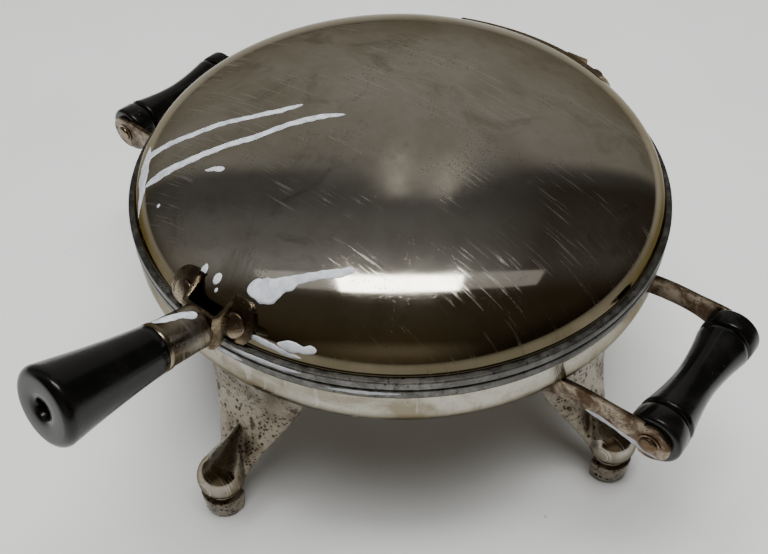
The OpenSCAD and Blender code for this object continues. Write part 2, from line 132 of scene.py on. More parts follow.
def revolve_into(bm, profile, matrix=Matrix.Identity(4), segments=SEG, wobble=None):
    """Adds a closed (radius, height) outline turned round the local z axis."""
    rows = []
    for radius, height in profile:
        if radius < 1e-7:
            rows.append([bm.verts.new(matrix @ Vector((0, 0, height)))])
            continue
        row = []
        for i in range(segments):
            a = 2 * math.pi * i / segments
            p = Vector((radius * math.cos(a), radius * math.sin(a), height))
            if wobble:
                p = wobble(p)
            row.append(bm.verts.new(matrix @ p))
        rows.append(row)
    for k in range(len(rows)):
        one, two = rows[k], rows[(k + 1) % len(rows)]
        if len(one) == 1 and len(two) == 1:
            continue
        for i in range(segments):
            j = (i + 1) % segments
            if len(one) == 1:
                bm.faces.new((one[0], two[j], two[i]))
            elif len(two) == 1:
                bm.faces.new((one[i], one[j], two[0]))
            else:
                bm.faces.new((one[i], one[j], two[j], two[i]))


def revolve(name, profile, material, matrix=Matrix.Identity(4), segments=SEG, wobble=None, crisp=35):
    """A turned piece."""
    bm = bmesh.new()
    revolve_into(bm, profile, matrix, segments, wobble)
    return sharpen(add_mesh(name, bm, material), crisp)


def prism_into(bm, outline, thickness, matrix):
    """Adds a flat outline of (x, y) points, given a thickness both ways along z."""
    low = [bm.verts.new(matrix @ Vector((x, y, -thickness / 2))) for x, y in outline]
    high = [bm.verts.new(matrix @ Vector((x, y, thickness / 2))) for x, y in outline]
    bm.faces.new(low[::-1])
    bm.faces.new(high)
    for i in range(len(outline)):
        j = (i + 1) % len(outline)
        bm.faces.new((low[i], low[j], high[j], high[i]))


def bevelled(obj, width, segments=3, angle=40):
    """Rounds the sharp edges of a piece."""
    apply_modifier(obj, "BEVEL", width=width, segments=segments, limit_method="ANGLE",
                   angle_limit=math.radians(angle), harden_normals=False)
    for face in obj.data.polygons:
        face.use_smooth = True
    return sharpen(obj, 40)


def loft_into(bm, rows, caps=True):
    """Adds a skin through closed rows of points."""
    rings = [[bm.verts.new(p) for p in row] for row in rows]
    count = len(rings[0])
    for one, two in zip(rings, rings[1:]):
        for i in range(count):
            j = (i + 1) % count
            bm.faces.new((one[i], one[j], two[j], two[i]))
    if caps:
        bm.faces.new(rings[0][::-1])
        bm.faces.new(rings[-1])


def oval(centre, radii, start, end, steps):
    """Points along an arc of an ellipse, angles in degrees."""
    angles = [math.radians(start + (end - start) * i / steps) for i in range(steps + 1)]
    return [(centre[0] + radii[0] * math.cos(a), centre[1] + radii[1] * math.sin(a)) for a in angles]


def arc(centre, radius, start, end, steps):
    """Points along an arc of a circle, angles in degrees."""
    return oval(centre, (radius, radius), start, end, steps)


def cubic(points, t):
    """Point on a cubic curve through four control points."""
    a, b, c, d = points
    s = 1 - t
    return tuple(s ** 3 * a[k] + 3 * s * s * t * b[k] + 3 * s * t * t * c[k] + t ** 3 * d[k]
                 for k in range(len(a)))


def smoothstep(t):
    """Eases from nought to one."""
    t = min(max(t, 0), 1)
    return t * t * (3 - 2 * t)


# Stands a shape drawn in x and y upright, its thickness along y
STAND = Matrix.Rotation(math.pi / 2, 4, "X")


def turn(azimuth):
    """Turns a shape drawn towards +X about the body's axis to an azimuth in degrees."""
    return Matrix.Translation(AXIS) @ Matrix.Rotation(math.radians(azimuth), 4, "Z")


def dome_radius(z):
    """Radius of the dome at a height."""
    return DOME_R * math.sqrt(max(0, 1 - ((z - DOME_Z) / DOME_H) ** 2))


def dome_point(azimuth, z, lift=0.0):
    """Point over the dome at an azimuth in degrees and a height, lifted along the normal."""
    a = math.radians(azimuth)
    r = dome_radius(z)
    normal = Vector((r / DOME_R ** 2, 0, (z - DOME_Z) / DOME_H ** 2)).normalized()
    p = Vector((r, 0, z)) + normal * lift
    return AXIS + Matrix.Rotation(a, 3, "Z") @ p


def dome_matrix(azimuth, z):
    """Frame on the dome's surface with its z axis along the outward normal."""
    a = math.radians(azimuth)
    r = dome_radius(z)
    normal = Matrix.Rotation(a, 3, "Z") @ Vector((r / DOME_R ** 2, 0, (z - DOME_Z) / DOME_H ** 2))
    return Matrix.Translation(dome_point(azimuth, z)) @ normal.to_track_quat("Z", "Y").to_matrix().to_4x4()


# ---- materials
def add_node(tree, kind, inputs=(), **settings):
    """Adds a node with its settings. Each of its inputs is a value or a socket."""
    node = tree.nodes.new(kind)
    for key, value in settings.items():
        setattr(node, key, value)
    for key, value in dict(inputs).items():
        if isinstance(value, bpy.types.NodeSocket):
            tree.links.new(value, node.inputs[key])
        else:
            node.inputs[key].default_value = value
    return node


class Shader:
    """A small node tree around one Principled shader, in object coordinates."""

    def __init__(self, name, metallic=0.0, **sockets):
        self.material = bpy.data.materials.new(name)
        self.material.use_nodes = True
        self.tree = self.material.node_tree
        self.main = self.tree.nodes["Principled BSDF"]
        self.coords = self.tree.nodes.new("ShaderNodeTexCoord").outputs["Object"]
        self.main.inputs["Metallic"].default_value = metallic
        for key, value in sockets.items():
            self.main.inputs[key.replace("_", " ")].default_value = value

    def node(self, kind, inputs=(), **settings):
        """A node of this material."""
        return add_node(self.tree, kind, inputs, **settings)

    def place(self, scale=(1, 1, 1), rotation=(0, 0, 0)):
        """Object coordinates stretched and turned."""
        return self.node("ShaderNodeMapping", {
            "Vector": self.coords, "Scale": scale, "Rotation": rotation}).outputs[0]

    def noise(self, scale, detail=5.0, rough=0.55, where=None, distort=0.0):
        """Soft noise, between nought and one."""
        return self.node("ShaderNodeTexNoise", {
            "Vector": where or self.coords, "Scale": scale, "Detail": detail, "Roughness": rough,
            "Distortion": distort}).outputs[0]

    def cells(self, scale):
        """Distance to the middle of the nearest of many scattered cells."""
        inputs = {"Vector": self.coords, "Scale": scale}
        return self.node("ShaderNodeTexVoronoi", inputs).outputs["Distance"]

    def specks(self, scale, size, clumps, detail, reach):
        """Specks: one in a speck and nought elsewhere, and only where a broader noise is high."""
        return self.math("MULTIPLY", self.band(self.cells(scale), *size),
                         self.band(self.noise(clumps, detail), *reach))

    def band(self, value, low, high, a=0.0, b=1.0):
        """Maps a value smoothly from low..high to a..b."""
        return self.node("ShaderNodeMapRange", {
            "Value": value, "From Min": low, "From Max": high, "To Min": a, "To Max": b},
            interpolation_type="SMOOTHSTEP").outputs[0]

    def math(self, operation, a, b):
        """One step of arithmetic on two sockets or numbers."""
        return self.node("ShaderNodeMath", {0: a, 1: b}, operation=operation).outputs[0]

    def mix(self, factor, a, b):
        """Mixes two colours, each a socket or an RGB tuple."""
        a = a if isinstance(a, bpy.types.NodeSocket) else (*a, 1)
        b = b if isinstance(b, bpy.types.NodeSocket) else (*b, 1)
        return self.node("ShaderNodeMix", {0: factor, 6: a, 7: b}, data_type="RGBA").outputs[2]

    def bump(self, height, distance, strength):
        """Gives the surface a fine relief, its depth in metres."""
        node = self.node("ShaderNodeBump", {"Height": height, "Distance": distance, "Strength": strength})
        self.tree.links.new(node.outputs[0], self.main.inputs["Normal"])

    def link(self, name, socket):
        """Feeds one of the shader's own sockets."""
        self.tree.links.new(socket, self.main.inputs[name])

    def scratches(self):
        """Fine crossing scratches, one where a scratch runs and nought elsewhere."""
        total = None
        for angle, width in ((0.3, 900), (1.1, 1100), (2.0, 800), (2.7, 1200)):
            lines = self.noise(1.0, 2.0, 0.5, self.place((34, width, 34), (0, 0, angle)))
            line = self.band(lines, 0.64, 0.70)
            total = line if total is None else self.math("MAXIMUM", total, line)
        patches = self.band(self.noise(30, 4), 0.44, 0.6)
        return self.math("MULTIPLY", total, patches)


def nickel(name, color, tint, rough, pits, scale, tint_at=(0.45, 0.7)):
    """Worn nickel plate: cloudy tarnish, smudges, scratches and dark pits. Returns the Shader."""
    s = Shader(name, metallic=1.0, Specular_Tint=(0.42, 0.39, 0.33, 1))
    cloud = s.noise(14 * scale, 7, 0.62, distort=0.6)
    fine = s.noise(160 * scale, 5, 0.6)
    dark = tuple(c * 0.3 for c in tint)
    base = s.mix(s.band(cloud, *tint_at), color, tint)
    stain = s.band(s.noise(34 * scale, 8, 0.68, distort=1.2), 0.52, 0.7, 0, 0.5)
    base = s.mix(stain, base, tuple(c * 0.55 for c in tint))
    base = s.mix(s.band(fine, 0.45, 0.8, 0, 0.45), base, tint)
    spots = s.math("MULTIPLY", s.specks(800 * scale, (0.3, 0.12), 60 * scale, 5, (0.5, 0.62)), pits)
    base = s.mix(spots, base, dark)
    scratch = s.scratches()
    s.link("Base Color", s.mix(s.math("MULTIPLY", scratch, 0.35), base, (0.85, 0.83, 0.79)))
    rough_map = s.band(s.noise(38 * scale, 6, 0.65), 0.35, 0.7, *rough)
    rough_map = s.math("ADD", rough_map, s.math("MULTIPLY", scratch, 0.22))
    s.link("Roughness", s.math("ADD", rough_map, s.math("MULTIPLY", spots, 0.25)))
    s.bump(s.math("SUBTRACT", s.math("MULTIPLY", s.noise(30, 3), 0.3), s.math("MULTIPLY", spots, 0.25)),
           0.00006, 0.4)
    return s


def dome_nickel():
    """The dome's plate, browner towards its edge, with painted shade along its foot, hazier on its crown and
    reflective all over.
    """
    s = nickel("dome_nickel", (0.56, 0.535, 0.48), (0.42, 0.385, 0.32), (0.06, 0.12), 0.7, 1.0, (0.4, 0.7))
    height = s.node("ShaderNodeSeparateXYZ", {0: s.coords}).outputs[2]
    edge = s.band(height, DOME_Z + 22 * MM, DOME_Z + 3 * MM)
    edge = s.math("MULTIPLY", edge, s.band(s.noise(24, 5), 0.3, 0.6, 0.45, 1.0))
    base = s.main.inputs["Base Color"].links[0].from_socket
    base = s.mix(s.math("MULTIPLY", edge, 0.72), base, (0.34, 0.285, 0.19))
    # Painted shade: a dark band round the dome's foot, where it meets the flange, in place of the darker
    # reflection there
    painted_foot_shade = s.math("MULTIPLY", s.band(height, DOME_Z + 12 * MM, DOME_Z + 5 * MM),
                  s.band(s.noise(30, 5), 0.25, 0.6, 0.75, 1.0))
    s.link("Base Color", s.mix(painted_foot_shade, base, (0.12, 0.10, 0.062)))
    crown = s.band(height, DOME_Z + 27 * MM, DOME_Z + 33.5 * MM, 0.0, 0.16)
    crown = s.math("MULTIPLY", crown, s.band(s.noise(20, 6, 0.6), 0.3, 0.7, 0.55, 1.0))
    rough = s.main.inputs["Roughness"].links[0].from_socket
    s.link("Roughness", s.math("ADD", rough, crown))
    return s.material


def leg_nickel():
    """Dull plate over a casting, peppered and blotched with dark brown."""
    s = Shader("leg_nickel", metallic=1.0)
    cloud = s.noise(60, 6, 0.65)
    base = s.mix(s.band(cloud, 0.4, 0.66), (0.25, 0.22, 0.17), (0.13, 0.10, 0.07))
    pits = s.specks(640, (0.44, 0.2), 120, 5, (0.42, 0.56))
    large = s.specks(330, (0.36, 0.16), 80, 5, (0.46, 0.58))
    blotch = s.band(s.noise(150, 7, 0.7), 0.58, 0.66, 0, 0.8)
    pits = s.math("MAXIMUM", s.math("MAXIMUM", pits, large), blotch)
    base = s.mix(pits, base, (0.045, 0.032, 0.022))
    s.link("Base Color", base)
    s.link("Roughness", s.math("ADD", s.band(cloud, 0.35, 0.7, 0.24, 0.42), s.math("MULTIPLY", pits, 0.3)))
    grain = s.math("MULTIPLY", s.noise(700, 4, 0.6), 0.35)
    s.bump(s.math("SUBTRACT", grain, s.math("MULTIPLY", pits, 0.8)), 0.00022, 0.5)
    return s.material


def cast_aluminium(name, color, dark):
    """Rough cast aluminium with mottled oxide."""
    s = Shader(name, metallic=1.0)
    mottle = s.noise(210, 6, 0.7)
    broad = s.noise(35, 4, 0.6)
    base = s.mix(s.band(mottle, 0.38, 0.66), dark, color)
    base = s.mix(s.band(broad, 0.42, 0.7, 0, 0.6), base, dark)
    specks = s.specks(520, (0.3, 0.12), 120, 3, (0.48, 0.6))
    base = s.mix(specks, base, tuple(c * 0.3 for c in dark))
    s.link("Base Color", base)
    s.link("Roughness", s.band(mottle, 0.3, 0.7, 0.34, 0.6))
    s.bump(s.math("SUBTRACT", s.noise(900, 4, 0.65), specks), 0.00018, 0.6)
    return s.material


def rusty_steel(name, color, rust, amount=(0.42, 0.62), rough=(0.3, 0.55)):
    """Plated steel that has browned in patches."""
    s = Shader(name, metallic=1.0)
    patches = s.noise(120, 7, 0.68, distort=0.4)
    base = s.mix(s.band(patches, *amount), color, rust)
    pits = s.specks(700, (0.32, 0.12), 150, 3, (0.45, 0.6))
    base = s.mix(pits, base, (0.035, 0.026, 0.02))
    s.link("Base Color", base)
    s.link("Roughness", s.band(patches, 0.3, 0.7, *rough))
    s.bump(s.math("SUBTRACT", s.math("MULTIPLY", patches, 0.6), pits), 0.0002, 0.6)
    return s.material


def black_lacquer():
    """Turned wood under black lacquer, a little duller where it is rubbed."""
    s = Shader("black_lacquer", Coat_Weight=0.2, Coat_Roughness=0.12, Specular_IOR_Level=0.3)
    grain = s.noise(1, 5, 0.6, s.place((900, 900, 120)))
    smudge = s.noise(70, 5, 0.6)
    base = s.mix(s.band(smudge, 0.45, 0.75, 0, 0.5), (0.0015, 0.0015, 0.0015), (0.006, 0.0055, 0.005))
    chips = s.specks(380, (0.14, 0.06), 60, 3, (0.58, 0.66))
    base = s.mix(chips, base, (0.06, 0.045, 0.035))
    s.link("Base Color", base)
    s.link("Roughness", s.band(smudge, 0.3, 0.75, 0.16, 0.34))
    s.bump(s.math("ADD", grain, s.math("MULTIPLY", chips, -1.0)), 0.00004, 0.3)
    return s.material


def white_paint():
    """Dried splashes of thin bluish white paint."""
    s = Shader("white_paint")
    film = s.noise(240, 6, 0.65)
    base = s.mix(s.band(film, 0.3, 0.62), (0.34, 0.36, 0.40), (0.52, 0.54, 0.58))
    bare = s.specks(260, (0.14, 0.05), 90, 3, (0.5, 0.6))
    s.link("Base Color", s.mix(bare, base, (0.12, 0.11, 0.10)))
    s.link("Roughness", s.band(film, 0.3, 0.7, 0.35, 0.6))
    s.bump(film, 0.00012, 0.5)
    return s.material


def plain_rough(name, color, dark, metallic=0.0, rough=(0.45, 0.7), scale=90):
    """A simple mottled surface for inner pieces."""
    s = Shader(name, metallic=metallic)
    mottle = s.noise(scale, 6, 0.65)
    s.link("Base Color", s.mix(s.band(mottle, 0.35, 0.68), color, dark))
    s.link("Roughness", s.band(mottle, 0.3, 0.7, *rough))
    s.bump(s.noise(scale * 6, 3), 0.0001, 0.4)
    return s.material


def floor_paint():
    """Pale matt table top with faint scuffs."""
    s = Shader("floor_paint")
    scuff = s.noise(9, 7, 0.62)
    fine = s.noise(120, 5, 0.6, s.place((1, 3, 1), (0, 0, 0.4)))
    base = s.mix(s.band(scuff, 0.4, 0.75, 0, 0.5), (0.70, 0.70, 0.69), (0.64, 0.64, 0.625))
    marks = s.specks(60, (0.07, 0.03), 14, 3, (0.56, 0.64))
    base = s.mix(s.math("MULTIPLY", marks, 0.6), base, (0.25, 0.25, 0.25))
    s.link("Base Color", base)
    s.link("Roughness", s.band(fine, 0.3, 0.7, 0.38, 0.55))
    return s.material


DOME = dome_nickel()
BELLY = nickel("belly_nickel", (0.47, 0.45, 0.39), (0.25, 0.22, 0.16), (0.14, 0.3), 1.0, 1.8,
               (0.4, 0.62)).material
LEG = leg_nickel()
TOE = nickel("toe_nickel", (0.36, 0.33, 0.28), (0.20, 0.16, 0.11), (0.1, 0.22), 0.9, 3.0).material
TRIM = nickel("trim_nickel", (0.44, 0.41, 0.35), (0.20, 0.15, 0.09), (0.18, 0.38), 1.0, 3.0,
              (0.34, 0.58)).material
BROWN = rusty_steel("brown_bracket", (0.25, 0.20, 0.13), (0.07, 0.05, 0.03), (0.34, 0.6), (0.22, 0.45))
ALU_UPPER = cast_aluminium("cast_aluminium_upper", (0.27, 0.265, 0.25), (0.09, 0.088, 0.082))
ALU_LOWER = cast_aluminium("cast_aluminium_lower", (0.24, 0.235, 0.22), (0.08, 0.078, 0.072))
STRAP = rusty_steel("strap_steel", (0.33, 0.28, 0.21), (0.09, 0.055, 0.032), (0.34, 0.58))
RIVET = rusty_steel("rivet_steel", (0.36, 0.30, 0.22), (0.12, 0.075, 0.042), (0.35, 0.6), (0.2, 0.42))
WOOD = black_lacquer()
PAINT = white_paint()
BOARD = plain_rough("mica_board", (0.62, 0.58, 0.48), (0.45, 0.40, 0.31))
TIN = plain_rough("tinned_sheet", (0.62, 0.61, 0.59), (0.42, 0.41, 0.39), 1.0, (0.22, 0.42))
WIRE = plain_rough("element_wire", (0.30, 0.25, 0.21), (0.16, 0.13, 0.11), 1.0, (0.45, 0.65), 300)
PORCELAIN = plain_rough("porcelain", (0.72, 0.69, 0.61), (0.60, 0.55, 0.45), 0.0, (0.15, 0.3), 150)
BRASS = plain_rough("pin_brass", (0.62, 0.48, 0.27), (0.40, 0.29, 0.15), 1.0, (0.25, 0.45), 260)


# ---- shells
def dented(amount, scale):
    """Pushes a point in and out by a little broad noise, as worn sheet is never true."""
    def move(p):
        side = Vector((p.x, p.y, 0)).normalized() if p.xy.length > 1e-6 else Vector((0, 0, 1))
        swell = noise.noise(p * scale) * amount
        return p + Vector((side.x * swell * 0.3, side.y * swell * 0.3, -abs(swell)))
    return move


def make_dome():
    """The pressed lid: a smooth dome with a small rolled bead at its edge and a lip turned in under it."""
    bead = 0.7 * MM
    lip = DOME_R - 4.6 * MM
    outer = [(lip, DOME_Z), (DOME_R - 0.4 * MM, DOME_Z)]
    outer += arc((DOME_R, DOME_Z + bead), bead, -90, 80, 6)
    outer += oval((0, DOME_Z), (DOME_R, DOME_H), 0, 90, 64)[3:]
    outer[-1] = (0, outer[-1][1])
    inner = oval((0, DOME_Z), (DOME_R - SHEET, DOME_H - SHEET), 0, 90, 40)[2:-1]
    inner = [(0, DOME_Z + DOME_H - SHEET)] + inner[::-1]
    inner += [(DOME_R - 2.4 * MM, DOME_Z + SHEET), (lip, DOME_Z + SHEET)]
    dome = revolve("dome", outer + inner, DOME, Matrix.Translation(AXIS), 256, dented(0.12 * MM, 14))
    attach(dome, "lid")
    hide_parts("lid_shell")


def cut(obj, cutter):
    """Takes one closed piece out of another."""
    apply_modifier(obj, "BOOLEAN", operation="DIFFERENCE", solver="EXACT", object=cutter)
    bpy.data.objects.remove(cutter)


def make_belly():
    """The pan: straight band, curved belly and flat floor, slotted for the strap arms."""
    edge = 0.8 * MM
    lip = SHELL_R - 5 * MM
    opening_r = 50 * MM
    outer = [(lip, BAND_TOP), (SHELL_R - edge, BAND_TOP)]
    outer += arc((SHELL_R - edge, BAND_TOP - edge), edge, 70, 0, 4)
    bend = (SHELL_R - BELLY_REACH, BAND_BOTTOM)
    outer += oval(bend, (BELLY_REACH, -BELLY_DROP), 0, 90, 36)
    inner = oval(bend, (BELLY_REACH - SHEET, SHEET - BELLY_DROP), 0, 90, 24)
    outer += [(opening_r, FLOOR_Z), (opening_r, FLOOR_Z + SHEET)] + inner[::-1]
    outer += [(SHELL_R - SHEET, BAND_TOP - SHEET), (lip, BAND_TOP - SHEET)]
    pan = revolve("pan", outer, BELLY, Matrix.Translation(AXIS), 256)

    bm = bmesh.new()
    slot_x, half_x, half_z = 96 * MM, 17 * MM, 6.05 * MM
    slot = [(-half_x, -half_z), (half_x, -half_z), (half_x, half_z), (-half_x, half_z)]
    for side in (-1, 1):
        for end in (-1, 1):
            at = AXIS + Vector((side * slot_x, end * (GRIP_L / 2 + STRAP_T / 2), GRIP_Z + 0.8 * MM))
            prism_into(bm, slot, STRAP_T + 0.8 * MM, Matrix.Translation(at) @ STAND)
    inlet_r, inlet_l = 11.2 * MM, 30 * MM
    tube = turn(135) @ Matrix.Translation((SHELL_R - 12 * MM, 0, BAND_BOTTOM - 5.5 * MM))
    revolve_into(bm, [(0, 0), (inlet_r, 0), (inlet_r, inlet_l), (0, inlet_l)],
                 tube @ Matrix.Rotation(math.pi / 2, 4, "Y"), 64)
    cut(pan, add_mesh("slot_cutter", bm, BELLY, False))
    for face in pan.data.polygons:
        face.use_smooth = True
    sharpen(pan)
    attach(pan, "base")
    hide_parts("base_shell")


# ---- waffle grids
def stud_into(bm, at, half, height, up):
    """A tapered waffle stud with softened corners, rising along z times up."""
    rows = []
    for inset, level in ((0, -0.4 * MM), (0, 0), (0.7 * MM, 0.75 * height), (1.15 * MM, 0.93 * height),
                         (1.9 * MM, height)):
        w = half - inset
        c = w - w * 0.22
        ring = [(w, -c), (w, c), (c, w), (-c, w), (-w, c), (-w, -c), (-c, -w), (c, -w)]
        rows.append([at + Vector((x, y, up * level)) for x, y in ring])
    loft_into(bm, rows)


def make_grid(name, node, body, face_z, up, boss_end, material):
    """A cast cooking grid: flange, overflow groove, ridge, studs, cross ribs and centre boss."""
    edge = 0.7 * MM
    plate, back = -7.8, -12  # the field between the studs and the grid's back, below its face in mm
    stud_gap, first_stud = 16.5, 10.5
    profile = [(0, back), (86, back), (91, -9.5), (98.6, -9.5), (99.5, -5.0), (100, -3.8)]
    profile = [(r * MM, z * MM) for r, z in profile]
    profile += arc((RIM_R - edge, -FLANGE + edge), edge, -90, 0, 4)
    profile += arc((RIM_R - edge, -edge), edge, 0, 90, 4)
    groove = [(99.6, 0), (98.8, -0.5), (97.8, -3.9), (97, -4.5), (93, -4.5), (92.2, -4)]
    ridge = [(91.4, -1.7), (90.7, -1.2), (88.9, -1.2), (88.2, -1.6), (87.2, -7), (86.4, plate), (0, plate)]
    profile += [(r * MM, z * MM) for r, z in groove + ridge]
    bm = bmesh.new()
    centre = Matrix.Translation(AXIS + Vector((0, 0, face_z))) @ Matrix.Diagonal((1, 1, up, 1))

    def rough_cast(p):
        """Makes the turned surface a little uneven."""
        return p + Vector((p.x, p.y, 0)) * (noise.noise(p * 60) * 0.0006)
    revolve_into(bm, profile, centre, 256, rough_cast)
    rows = [first_stud + stud_gap * i for i in range(5)]
    rows = [-x for x in rows[::-1]] + rows
    for x in rows:
        for y in rows:
            if math.hypot(x, y) < 80:
                at = AXIS + Vector((x * MM, y * MM, face_z + up * plate * MM))
                stud_into(bm, at, 3.75 * MM, 5.2 * MM, up)
    for angle in (0, 90):
        rib = [(-1.5, -7.9), (1.5, -7.9), (1.3, -2.0), (0.8, -1.5), (-0.8, -1.5), (-1.3, -2.0)]
        rib = [(x * MM, z * MM) for x, z in rib]
        prism_into(bm, rib, 174 * MM, centre @ Matrix.Rotation(math.radians(angle), 4, "Z") @ STAND)
    end = (boss_end - face_z) * up
    boss = [(0, -11.9 * MM), (9 * MM, -11.9 * MM), (9 * MM, end + 0.6 * MM), (8.4 * MM, end), (0, end)]
    revolve_into(bm, boss, centre, 48)
    grid = sharpen(add_mesh(name, bm, material), 40)
    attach(grid, body)
    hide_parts(node)


# ---- legs
def belly_under(radius):
    """Height of the belly's underside at a radius."""
    reach = min(max((radius - SHELL_R + BELLY_REACH) / BELLY_REACH, 0), 1)
    return BAND_BOTTOM - BELLY_DROP * math.sqrt(1 - reach ** 2)


def ball_profile(radius):
    """Outline of a ball, to be turned round its axis."""
    rows = arc((0, 0), radius, -90, 90, 28)
    rows[0], rows[-1] = (0, -radius), (0, radius)
    return rows


def leg_mesh():
    """One cabriole leg towards +X about the body's axis, as a closed mesh."""
    front = [(96.5 * MM, FLOOR_Z + 1.2 * MM), (95 * MM, 52 * MM), (97.5 * MM, 40 * MM),
             (TOE_AT.x - 1 * MM, 14 * MM)]
    side = [(6.6 * MM, 12 * MM), (8.8 * MM, 32 * MM), (23 * MM, 45 * MM), (31.4 * MM, 76 * MM)]
    widths = sorted((cubic(side, i / 60)[1], cubic(side, i / 60)[0]) for i in range(61))

    def half_width(z):
        """Half of the shield's width at a height."""
        for (z0, w0), (z1, w1) in zip(widths, widths[1:]):
            if z <= z1:
                return w0 + (w1 - w0) * max(0, (z - z0) / (z1 - z0))
        return widths[-1][1]

    root = 102.4 * MM
    path = [(root, belly_under(root) - 0.3 * MM), (101.2 * MM, 73.4 * MM), (98.8 * MM, 70.9 * MM)]
    path += [cubic(front, i / 22) for i in range(23)]
    rows = []
    for k, (rho, z) in enumerate(path):
        w = half_width(z)
        ahead = path[min(k + 1, len(path) - 1)]
        behind = path[max(k - 1, 0)]
        tangent = Vector((ahead[0] - behind[0], ahead[1] - behind[1])).normalized()
        inward = Vector((tangent.y, -tangent.x))
        ring = []
        stations = [-1 + 2 * s / 16 for s in range(17)]
        for u in stations:
            curl = 2.4 * MM * abs(u) ** 5
            ring.append((rho + inward.x * curl, w * u, z + inward.y * curl))
        for u in stations[::-1]:
            depth = 2.3 * MM + 1.6 * MM * abs(u) ** 6
            ring.append((rho + inward.x * depth, (w - 0.9 * MM) * u, z + inward.y * depth))
        points = []
        for r, t, h in ring:
            phi = math.asin(max(-0.9, min(0.9, t / r)))
            points.append(Vector((r * math.cos(phi), r * math.sin(phi), h)))
        rows.append(points)
    bm = bmesh.new()
    loft_into(bm, rows)
    revolve_into(bm, ball_profile(TOE_R), Matrix.Translation(TOE_AT), 48)
    # Spine that carries the ball's sides up into the shield and dies away in it
    ankle = Matrix.Translation(TOE_AT) @ Matrix.Rotation(math.radians(-36), 4, "Y")
    spine = [(0, 0), (9.2, 0.5), (8.6, 4.5), (7.2, 8.5), (5.3, 12.5), (3.4, 17), (1.6, 22), (0, 25)]
    revolve_into(bm, [(r * MM, h * MM) for r, h in spine], ankle, 48)
    # Riveted tab that runs in under the pan's floor
    tab_in, tab_out, tab_half = 60 * MM, 96 * MM, 11 * MM
    tab = [(tab_in, -tab_half), (tab_out, -tab_half), (tab_out, tab_half), (tab_in, tab_half)]
    prism_into(bm, tab, 1.7 * MM, Matrix.Translation((0, 0, FLOOR_Z - 0.95 * MM)))
    # Foot block under the ball: round in front, flat behind
    back_x, round_to = TOE_AT.x - 4 * MM, 115
    rows = []
    for z, radius in ((0, 8.1), (0.6, 8.5), (5, 8.9), (10.4, 9.4), (11.2, 9.2)):
        half = radius * MM * math.sin(math.radians(round_to)) * 0.4
        ring = arc((TOE_AT.x, 0), radius * MM, -round_to, round_to, 24)
        ring += [(back_x, half), (back_x, -half)]
        rows.append([Vector((x, y, z * MM)) for x, y in ring])
    loft_into(bm, rows)
    return bm


def make_legs():
    """Four legs from one voxel-blended casting, with a dished disc on each side of the foot."""
    foot_top = 11.4 * MM
    first = add_mesh("leg_model", leg_mesh(), LEG)
    apply_modifier(first, "REMESH", mode="VOXEL", voxel_size=0.55 * MM)
    bm = bmesh.new()
    for side in (-1, 1):
        dish = Matrix.Translation((TOE_AT.x, side * 11.4 * MM, 5.6 * MM))
        revolve_into(bm, ball_profile(3.4 * MM), dish, 40)
    cut(first, add_mesh("scoop_cutter", bm, LEG))
    apply_modifier(first, "SMOOTH", factor=0.5, iterations=7)
    mesh = first.data
    mesh.materials.clear()
    mesh.materials.append(LEG)
    mesh.materials.append(TOE)
    for face in mesh.polygons:
        face.use_smooth = True
        c = face.center
        if (c - TOE_AT).length < TOE_R + 0.5 * MM and c.z > foot_top and c.x > TOE_AT.x - 6 * MM:
            face.material_index = 1  # the polished ball
    for vert in mesh.vertices:
        vert.co.z = max(vert.co.z, 0)
        vert.co.x = min(vert.co.x, FOOT_R - 0.05 * MM)
    bpy.data.objects.remove(first)
    for name, azimuth in (("front", -90), ("right", 0), ("back", 90), ("left", 180)):
        copy = mesh.copy()
        copy.transform(turn(azimuth))
        leg = bpy.data.objects.new("cast_leg_" + name, copy)
        bpy.context.scene.collection.objects.link(leg)
        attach(leg, "base")
        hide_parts("leg_" + name)


# ---- rivets, grips and straps
def rivet_profile(head, height, shank=1.5 * MM, depth=2 * MM, collar=0.0):
    """A domed head on a shank, with a flat washer under it if collar is given."""
    rows = [(0, -depth), (shank, -depth), (shank, 0)]
    if collar:
        rows += [(collar, 0), (collar, 0.5 * MM), (head, 0.6 * MM)]
    else:
        rows += [(head, 0)]
    base = 0.9 * MM if collar else 0.3 * MM
    rows += oval((0, base), (head, height), 0, 90, 10)
    rows[-1] = (0, rows[-1][1])
    return rows


